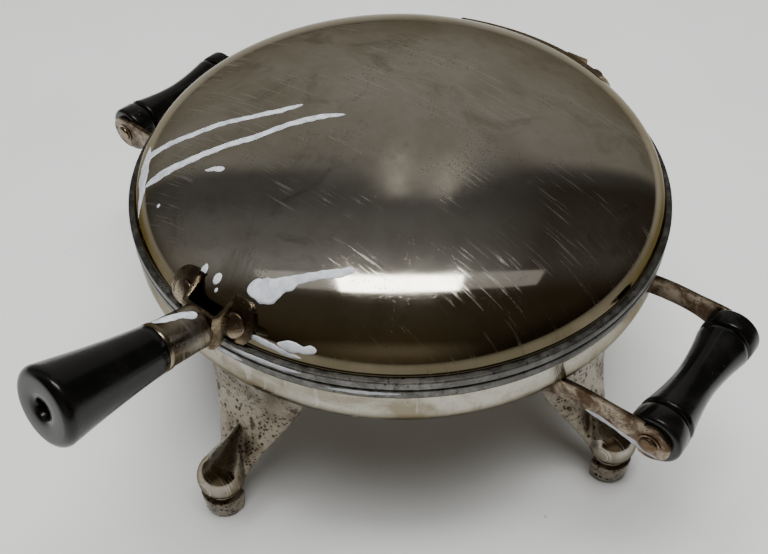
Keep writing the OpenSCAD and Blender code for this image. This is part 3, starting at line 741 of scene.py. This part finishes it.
def make_side(side, suffix):
    """One carrying handle: two arched strap arms, a turned grip and its tie rod."""
    half = GRIP_L / 2
    bm = bmesh.new()
    start, sag = 85 * MM, 2.8 * MM
    middle, reach = 116 * MM, 21 * MM

    def line(x):
        """Height of the arm's middle, which arches a little on its way out."""
        return sag * max(0, 1 - ((x - middle) / reach) ** 2) if x > middle - reach else 0

    arm_half = 4.6 * MM
    upper, lower = [], []
    for i in range(25):
        x = start + (GRIP_X - 3.5 * MM - start) * i / 24
        h = arm_half + 2.3 * MM * smoothstep((x - 112 * MM) / (24 * MM)) ** 2
        upper.append((x, line(x) + h))
        lower.append((x, line(x) - h))
    end = arc((GRIP_X, 0), 7.6 * MM, 115, -115, 20)
    outline = upper + end + lower[::-1]
    for s in (-1, 1):
        at = AXIS + Vector((0, s * (half + STRAP_T / 2), GRIP_Z))
        prism_into(bm, outline, STRAP_T, Matrix.Translation(at) @ STAND)
    bar_end = start + STRAP_T
    bar = [(start, -arm_half), (bar_end, -arm_half), (bar_end, arm_half), (start, arm_half)]
    prism_into(bm, bar, 2 * half + 0.2 * MM, Matrix.Translation(AXIS + Vector((0, 0, GRIP_Z))) @ STAND)
    if side < 0:
        bmesh.ops.scale(bm, vec=(-1, 1, 1), verts=bm.verts)
    strap = bevelled(add_mesh("strap_" + suffix, bm, STRAP), 0.45 * MM, 3)
    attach(strap, "base")
    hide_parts("side_bracket_" + suffix)

    # Half of the grip's outline: rounded end, turned groove and waist
    groove = half - 9 * MM
    edge, bore, waist = 1.6 * MM, 2.6 * MM, 7.6 * MM
    rows = [(bore, -half), (GRIP_R - edge, -half)] + arc((GRIP_R - edge, edge - half), edge, -80, 0, 5)
    rows += [(GRIP_R - inset * MM, z * MM - groove) for inset, z in
             ((0.1, -1.5), (0.6, -0.7), (1.7, -0.3), (1.7, 0.3), (0.9, 0.7), (0.35, 1.5))]
    swell, run = rows[-1][0] - waist, groove - 1.5 * MM
    rows += [(waist + swell * (1 - i / 16) ** 1.7, -run * (1 - i / 16)) for i in range(1, 17)]
    rows = rows + [(r, -z) for r, z in rows[-2::-1]]
    matrix = Matrix.Translation(AXIS + Vector((side * GRIP_X, 0, GRIP_Z))) @ STAND
    grip = revolve("grip_" + suffix, rows, WOOD, matrix, 96, crisp=50)
    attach(grip, "base")
    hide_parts("side_grip_" + suffix)

    bm = bmesh.new()
    for s in (-1, 1):
        at = Matrix.Translation(AXIS + Vector((side * GRIP_X, s * (half + STRAP_T), GRIP_Z)))
        revolve_into(bm, rivet_profile(3.4 * MM, 1.2 * MM, 2.4 * MM, half + 1.9 * MM, 4.3 * MM),
                     at @ Matrix.Rotation(-s * math.pi / 2, 4, "X"), 48)
    rod = sharpen(add_mesh("grip_rod_" + suffix, bm, RIVET), 35)
    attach(rod, "base")
    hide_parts("tie_rod_" + suffix)


# ---- lid handle
HANDLE_MATRIX = Matrix.Translation(HANDLE_AT) @ Matrix.Rotation(math.pi / 2 - HANDLE_TILT, 4, "X")
EAR_X, EAR_R, EAR_Z = 12 * MM, 7 * MM, DOME_Z + 6 * MM


def make_handle():
    """The turned front handle: ferrule and flared black wood, bored for the rod through it."""
    rows = [(BORE_R / MM, 0), (7.6, 0), (8.0, 0.4), (8.05, 1.6), (7.95, 2.0), (8.35, 16.2), (8.75, 16.8),
            (8.8, 18.2), (8.5, 18.7), (BORE_R / MM, 18.7)]
    ferrule = revolve("ferrule", [(r * MM, z * MM) for r, z in rows], TRIM, HANDLE_MATRIX, 96, crisp=40)
    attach(ferrule, "lid")
    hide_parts("handle_ferrule")
    edge, neck, straight = 3 * MM, 8.75 * MM, HANDLE_L - 3 * MM
    rows = [(BORE_R, 0), (8.2 * MM, 0), (neck, 0.6 * MM)]
    rows += [(neck + (HANDLE_R - neck) * (i / 24) ** 1.3, straight * i / 24) for i in range(2, 25)]
    rows += arc((HANDLE_R - edge, straight), edge, 0, 90, 8)[1:]
    # The countersunk hole for the nut
    rows += [(r * MM, HANDLE_L - deep * MM) for r, deep in ((6.4, 0.05), (4.2, 0.35), (3.6, 1.0), (3.6, 7))]
    rows += [(BORE_R, HANDLE_L - 7 * MM)]
    beyond_ferrule = HANDLE_MATRIX @ Matrix.Translation((0, 0, FERRULE_L))
    wood = revolve("front_handle", rows, WOOD, beyond_ferrule, 128, crisp=50)
    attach(wood, "lid")
    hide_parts("lid_handle")


def make_bracket():
    """Hat-shaped strap: an ear on each side against the dome and a raised crown for the ferrule."""
    thick = 1.7 * MM
    crown_half_x, crown_half_z, ear_start = 6.6 * MM, 6.7 * MM, 8 * MM
    path = []  # (x across the strap, share of the raised crown there: 1 on the crown and 0 on the ears)
    for i in range(49):
        s = -1 + 2 * i / 48
        a = abs(s)
        if a < 0.3:
            x, w = crown_half_x * a / 0.3, 1.0
        elif a < 0.5:
            t = (a - 0.3) / 0.2
            x, w = crown_half_x + (ear_start - crown_half_x) * t, 1 - smoothstep(t)
        else:
            t = (a - 0.5) / 0.5
            x, w = ear_start + (EAR_X + EAR_R - 0.05 * MM - ear_start) * t, 0.0
        path.append((math.copysign(x, s), w))
    bm = bmesh.new()
    verts = []
    for x, w in path:
        over = max(0, abs(x) - EAR_X)
        ear_half = math.sqrt(max(EAR_R ** 2 - over ** 2, (0.3 * MM) ** 2))
        half = ear_half * (1 - w) + crown_half_z * w
        column = []
        for j in range(13):
            v = -1 + 2 * j / 12
            height = EAR_Z + v * half
            r = dome_radius(max(height, DOME_Z)) + 0.15 * MM
            ear = Vector((x, -math.sqrt(max(r * r - x * x, 0)), max(height, DOME_Z + 0.35 * MM)))
            crown = Vector((x, -RIM_R - 2.5 * MM + v * half * math.sin(HANDLE_TILT) + thick,
                            HANDLE_AT.z + v * half * math.cos(HANDLE_TILT)))
            column.append(bm.verts.new(AXIS + ear * (1 - w) + crown * w))
        verts.append(column)
    for one, two in zip(verts, verts[1:]):
        for a, b, c, d in zip(one, one[1:], two[1:], two):
            bm.faces.new((a, b, c, d))
    bmesh.ops.recalc_face_normals(bm, faces=bm.faces)
    middle = bm.faces[len(bm.faces) // 2]
    if middle.normal.y > 0:
        bmesh.ops.reverse_faces(bm, faces=bm.faces)
    mesh = bpy.data.meshes.new("bracket")
    bm.to_mesh(mesh)
    bm.free()
    mesh.materials.append(BROWN)
    bracket = bpy.data.objects.new("hat_bracket", mesh)
    bpy.context.scene.collection.objects.link(bracket)
    apply_modifier(bracket, "SOLIDIFY", thickness=thick, offset=1.0, use_even_offset=True)
    bevelled(bracket, 0.4 * MM, 2, 50)
    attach(bracket, "lid")
    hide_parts("handle_bracket")
    bm = bmesh.new()
    for s in (-1, 1):
        azimuth = -90 + s * math.degrees(math.asin(EAR_X / dome_radius(EAR_Z)))
        revolve_into(bm, rivet_profile(4.6 * MM, 1.1 * MM, 1.9 * MM, 3 * MM),
                     dome_matrix(azimuth, EAR_Z) @ Matrix.Translation((0, 0, thick)), 48)
    rivets = sharpen(add_mesh("bracket_rivets", bm, RIVET), 40)
    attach(rivets, "lid")
    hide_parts("handle_rivets")


# ---- paint splashes
def splash_rows(surface, route, seed):
    """Rows of points and lifts across a long drop of paint, for (u, v, half width) stops on its middle."""
    thickness = 0.16 * MM
    shift = Vector((seed * 3.7, 0, 0))
    count = len(route) * 14
    samples = []
    for i in range(count + 1):
        t = i / count * (len(route) - 1)
        k = min(int(t), len(route) - 2)
        f = smoothstep(t - k)
        u = route[k][0] + (route[k + 1][0] - route[k][0]) * (t - k)
        v = route[k][1] + (route[k + 1][1] - route[k][1]) * (t - k)
        w = route[k][2] + (route[k + 1][2] - route[k][2]) * f
        samples.append((u, v, w))
    middle = [surface(u, v, 0) for u, v, _ in samples]
    rows = []
    for i, (u, v, w) in enumerate(samples):
        ahead = middle[min(i + 1, count)] - middle[max(i - 1, 0)]
        ahead.normalize()
        normal = (surface(u, v, 1 * MM) - middle[i]).normalized()
        across = normal.cross(ahead).normalized()
        edge = min(i, count - i) / count * (len(route) - 1)
        taper = math.sqrt(max(0.02, 1 - (1 - min(edge / 0.5, 1)) ** 2))
        left = w * taper * (1 + 0.28 * noise.noise(middle[i] * 380 + shift))
        right = w * taper * (1 + 0.28 * noise.noise(middle[i] * 380 - shift))
        row = []
        for j in range(9):
            q = -1 + 2 * j / 8
            reach = left if q < 0 else right
            lift = thickness * math.sqrt(max(0, 1 - q * q)) * math.sqrt(taper)
            row.append((middle[i] + across * (q * reach), normal * lift))
        rows.append(row)
    return rows


def dome_xy(x, y, lift):
    """Point over the dome above (x, y) from the body's axis, lifted along the normal."""
    z = DOME_H * math.sqrt(max(0.0004, 1 - (x * x + y * y) / DOME_R ** 2))
    normal = Vector((x / DOME_R ** 2, y / DOME_R ** 2, z / DOME_H ** 2)).normalized()
    return AXIS + Vector((x, y, DOME_Z + z)) + normal * lift


def onto_dome(point):
    """Moves a point near the dome onto it."""
    p = point - AXIS
    z = max(p.z - DOME_Z, 0.3 * MM)
    scale = 1 / math.sqrt((p.xy.length / DOME_R) ** 2 + (z / DOME_H) ** 2)
    return AXIS + Vector((p.x * scale, p.y * scale, DOME_Z + z * scale))


def rim_wall(azimuth, z, lift):
    """Point over the flanges' outer wall. A route's degrees arrive as thousandths, as its millimetres do."""
    a = math.radians(azimuth / MM)
    r = RIM_R + lift
    return AXIS + Vector((r * math.cos(a), r * math.sin(a), z))


def onto_rim(point):
    """Moves a point near the flanges' outer wall onto it."""
    p = point - AXIS
    side = Vector((p.x, p.y, 0)).normalized() * RIM_R
    return AXIS + Vector((side.x, side.y, p.z))


def ferrule_radius(along):
    """Radius of the ferrule's taper at a distance from its inner end."""
    return 7.95 * MM + 0.4 * MM * (along / FERRULE_L)


def ferrule_skin(along, azimuth, lift):
    """Point over the ferrule at a distance from its inner end. Degrees arrive as in rim_wall."""
    a = math.radians(azimuth / MM)
    r = ferrule_radius(along) + lift
    return HANDLE_MATRIX @ Vector((r * math.cos(a), r * math.sin(a), along))


def onto_ferrule(point):
    """Moves a point near the ferrule onto it."""
    p = HANDLE_MATRIX.inverted() @ point
    side = Vector((p.x, p.y, 0)).normalized() * ferrule_radius(p.z)
    return HANDLE_MATRIX @ Vector((side.x, side.y, p.z))


def arm_face(x, z, lift):
    """Point over the outer face of the front strap arm."""
    return AXIS + Vector((x, -GRIP_L / 2 - STRAP_T - lift, z))


def add_splashes(name, body, surface, onto, routes):
    """Several splashes on one surface, as one piece of thin closed films. Routes are in mm and degrees."""
    bm = bmesh.new()
    for number, route in enumerate(routes):
        route = [tuple(value * MM for value in stop) for stop in route]
        rows = splash_rows(surface, route, number + len(name))
        top = [[bm.verts.new(onto(p) + n) for p, n in row] for row in rows]
        low = []
        for row in rows:
            down = max((n for _, n in row), key=lambda n: n.length).normalized() * 0.06 * MM
            low.append([bm.verts.new(onto(p) - down) for p, _ in row])
        for sheet in (top, low):
            for one, two in zip(sheet, sheet[1:]):
                for a, b, c, d in zip(one, one[1:], two[1:], two):
                    bm.faces.new((a, b, c, d) if sheet is top else (d, c, b, a))
        last = len(rows[0]) - 1
        for i in range(len(rows) - 1):
            bm.faces.new((top[i][0], top[i + 1][0], low[i + 1][0], low[i][0]))
            bm.faces.new((top[i + 1][last], top[i][last], low[i][last], low[i + 1][last]))
        for i in (0, len(rows) - 1):
            for j in range(last):
                bm.faces.new((top[i][j], top[i][j + 1], low[i][j + 1], low[i][j]))
    paint = add_mesh(name, bm, PAINT)
    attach(paint, body)


def splash_dome():
    """Two long streaks that meet at the left edge, with drops and a blotch near the front."""
    add_splashes("paint_on_dome", "lid", dome_xy, onto_dome, [
        [(-29, -23, 1.0), (-34, -30, 1.4), (-42, -38, 1.3), (-51, -46, 1.4), (-59, -55, 1.5), (-67, -62, 1.7),
         (-73, -68, 2.4)],
        [(-11, -19, 0.8), (-18, -25, 1.5), (-25, -34, 1.4), (-32, -46, 1.5), (-40, -55, 1.5), (-48, -65, 1.7),
         (-61, -79, 2.6)],
        [(-77, -62, 0.9), (-71, -70, 2.8), (-66, -76, 3.0), (-61, -81, 2.0), (-56, -88, 0.8)],
        [(-38, -67, 0.6), (-35, -65, 1.2), (-31, -63.5, 1.3)],
        [(-46.8, -84.2, 0.9), (-45.4, -85, 0.9)],
        [(-13.0, -99.6, 1.5), (-11.8, -100.4, 1.5)],
        [(-10.4, -96.4, 2.0), (-7.8, -96.4, 2.0)],
        [(-3.9, -96.6, 2.2), (-0.9, -96.6, 2.2)],
        [(-1.2, -99.2, 0.9), (0.0, -99.3, 0.9)],
        [(10, -94.5, 3.2), (17, -91.5, 4.4), (21, -87, 2.8), (24, -83, 1.7), (29, -78, 1.6), (34, -74, 1.7),
         (37, -70, 1.3)],
        [(28, -100, 1.2), (33, -98.3, 2.0), (37, -96.8, 1.5), (41, -94.7, 1.5)],
        [(16, -103, 0.7), (24, -101.6, 1.2), (32, -99.8, 1.0), (37, -98, 0.5)],
    ])


def splash_rest():
    """Streaks on the flanges, the ferrule and the front arm of the right-hand grip."""
    add_splashes("paint_on_upper_rim", "lid", rim_wall, onto_rim,
                 [[(-83, 102.3, 0.7), (-78, 102.6, 1.0), (-73, 102.5, 0.9), (-69, 102.8, 0.5)]])
    add_splashes("paint_on_lower_rim", "base", rim_wall, onto_rim,
                 [[(-64, 98.2, 0.5), (-58, 98.4, 0.8), (-51, 98.4, 0.5)],
                  [(-88, 97.9, 0.7), (-84, 98, 1.2), (-81, 98, 0.8)]])
    add_splashes("paint_on_ferrule", "lid", ferrule_skin, onto_ferrule,
                 [[(16.6, 118, 1.4), (12, 104, 2.2), (7, 92, 1.6), (2.4, 70, 1.9)]])
    add_splashes("paint_on_arm", "base", arm_face, lambda p: p,
                 [[(112, 75.3, 0.5), (118, 75.4, 1.0), (125, 74.4, 0.7), (131, 73.4, 1.1), (141, 72, 1.2)]])


# ---- build
make_dome()
make_belly()
make_grid("upper_waffle_grid", "upper_grid", "lid", UPPER_BOTTOM, -1, upper_hi.z, ALU_UPPER)
make_grid("lower_waffle_grid", "lower_grid", "base", LOWER_TOP, 1, grid_lo.z, ALU_LOWER)
make_legs()
make_side(1, "right")
make_side(-1, "left")
make_handle()
make_bracket()
splash_dome()
splash_rest()

KEPT = {
    "bottom_cover": TIN, "cover_screws": RIVET, "base_screw": RIVET, "lower_element": WIRE,
    "lower_insulator": BOARD, "lower_reflector": TIN, "leg_rivets": RIVET, "hinge_base_bracket": TRIM,
    "hinge_base_screws": RIVET, "hinge_pin": RIVET, "inlet_shroud": TRIM, "inlet_insulator": PORCELAIN,
    "inlet_pins": BRASS, "upper_element": WIRE, "upper_insulator": BOARD, "upper_reflector": TIN,
    "lid_bridge": TIN, "lid_stud": RIVET, "lid_nut": RIVET, "hinge_lid_strap": TRIM,
    "hinge_lid_rivets": RIVET, "handle_rod": RIVET, "handle_nut": RIVET,
}
for node_name, material in KEPT.items():
    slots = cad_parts[node_name].data.materials
    if len(slots):
        for index in range(len(slots)):
            slots[index] = material
    else:
        slots.append(material)


# ---- floor, light and camera
def make_floor():
    """A plain pale floor, 5 m across."""
    bm = bmesh.new()
    size = 2.5
    corners_xy = [(-size, -size), (size, -size), (size, size), (-size, size)]
    bm.faces.new([bm.verts.new((x, y, 0)) for x, y in corners_xy])
    floor = add_mesh("floor", bm, floor_paint(), False)


CAMERA_AZIMUTH, CAMERA_ELEVATION = 39.6, 46.1
CAMERA_DISTANCE = 0.491
CAMERA_AIM = AXIS + Vector((-0.0309, 0.0271, 0))
CAMERA_ROLL = -0.3
# Level directions in the room: to the right of the view, and away from the camera
ACROSS = Vector((math.cos(math.radians(CAMERA_AZIMUTH)), math.sin(math.radians(CAMERA_AZIMUTH)), 0))
FAR = Vector((-ACROSS.y, ACROSS.x, 0))


def make_camera():
    """The photograph's view."""
    a, e = math.radians(CAMERA_AZIMUTH), math.radians(CAMERA_ELEVATION)
    back = Vector((math.sin(a) * math.cos(e), -math.cos(a) * math.cos(e), math.sin(e)))
    right = Vector((math.cos(a), math.sin(a), 0))
    up = back.cross(right)
    turned = Matrix((right, up, back)).transposed() @ Matrix.Rotation(math.radians(CAMERA_ROLL), 3, "Z")
    data = bpy.data.cameras.new("camera")
    data.lens = 45
    data.sensor_width = 36
    data.clip_start = 0.01
    camera = bpy.data.objects.new("camera", data)
    camera.matrix_world = Matrix.Translation(CAMERA_AIM + back * CAMERA_DISTANCE) @ turned.to_4x4()
    bpy.context.scene.collection.objects.link(camera)
    bpy.context.scene.camera = camera


def area_light(name, at, aim, size, power, color):
    """A rectangular light that faces a point."""
    data = bpy.data.lights.new(name, "AREA")
    data.shape = "RECTANGLE"
    data.size, data.size_y = size
    data.energy = power
    data.color = color
    light = bpy.data.objects.new(name, data)
    direction = Vector(aim) - Vector(at)
    light.matrix_world = Matrix.Translation(at) @ direction.to_track_quat("-Z", "Y").to_matrix().to_4x4()
    bpy.context.scene.collection.objects.link(light)
    return light


def make_world():
    """Room seen in the plate: pale on the far side, dim overhead and to the right, brown near the camera."""
    world = bpy.data.worlds.new("room")
    bpy.context.scene.world = world
    world.use_nodes = True
    tree = world.node_tree
    coords = add_node(tree, "ShaderNodeTexCoord").outputs["Generated"]

    def towards(direction):
        """1 in a direction and -1 against it."""
        dot = add_node(tree, "ShaderNodeVectorMath", {0: coords, 1: direction}, operation="DOT_PRODUCT")
        return dot.outputs["Value"]

    def mapped(value, low, high, most=1.0):
        """Maps a value from low..high to 0..most."""
        limits = {"Value": value, "From Min": low, "From Max": high, "To Max": most}
        return add_node(tree, "ShaderNodeMapRange", limits).outputs[0]

    ramp = add_node(tree, "ShaderNodeValToRGB", {0: mapped(towards(FAR), -1, 1)})
    ramp.color_ramp.interpolation = "EASE"
    stops = [(-0.95, (0.24, 0.20, 0.14)), (-0.72, (0.05, 0.037, 0.019)), (-0.2, (0.055, 0.045, 0.03)),
             (0.08, (0.25, 0.245, 0.235)), (0.3, (0.15, 0.147, 0.14)), (0.5, (0.085, 0.083, 0.08)),
             (0.57, (0.085, 0.083, 0.08)), (0.64, (0.26, 0.25, 0.225)), (1.0, (0.33, 0.315, 0.285))]
    elements = ramp.color_ramp.elements
    while len(elements) < len(stops):
        elements.new(0.5)
    for element, (value, color) in zip(elements, stops):
        element.position = (value + 1) / 2
        element.color = (*color, 1)
    right, near = mapped(towards(ACROSS), 0.12, 0.5, 0.8), mapped(towards(FAR), 0.62, 0.52)
    shade = add_node(tree, "ShaderNodeMath", {0: right, 1: near}, operation="MULTIPLY").outputs[0]
    colors = {0: shade, 6: ramp.outputs[0], 7: (0.028, 0.022, 0.013, 1)}
    mixed = add_node(tree, "ShaderNodeMix", colors, data_type="RGBA").outputs[2]
    tree.links.new(mixed, tree.nodes["Background"].inputs[0])


def make_lights():
    """Soft light from above, with the panel and the window panes that the plate mirrors."""
    top = AXIS + Vector((0, 0, 0.12))
    white, warm, cool = (1.0, 0.98, 0.93), (1.0, 0.96, 0.86), (0.97, 0.985, 1.0)
    panel = area_light("ceiling_panel", top - 0.15 * FAR + Vector((0, 0, 1.5)), top, (0.8, 0.22), 7, white)
    haze = area_light("long_panel", top - 0.13 * FAR + Vector((0, 0, 1.52)), top, (2.3, 0.24), 0.5, white)
    for light in (panel, haze):
        light.rotation_euler = (0, 0, math.radians(CAMERA_AZIMUTH))
    for shift in (0.02, 0.30):
        pane_at = top + FAR * 1.05 + ACROSS * shift + Vector((0, 0, 1.62))
        area_light("window_pane", pane_at, top, (0.13, 0.34), 0.10, warm)
    soft = area_light("soft_ceiling", top + Vector((0, 0, 1.6)), top, (1.5, 1.5), 52, cool)
    soft.visible_glossy = False


make_floor()
make_camera()
make_world()
make_lights()
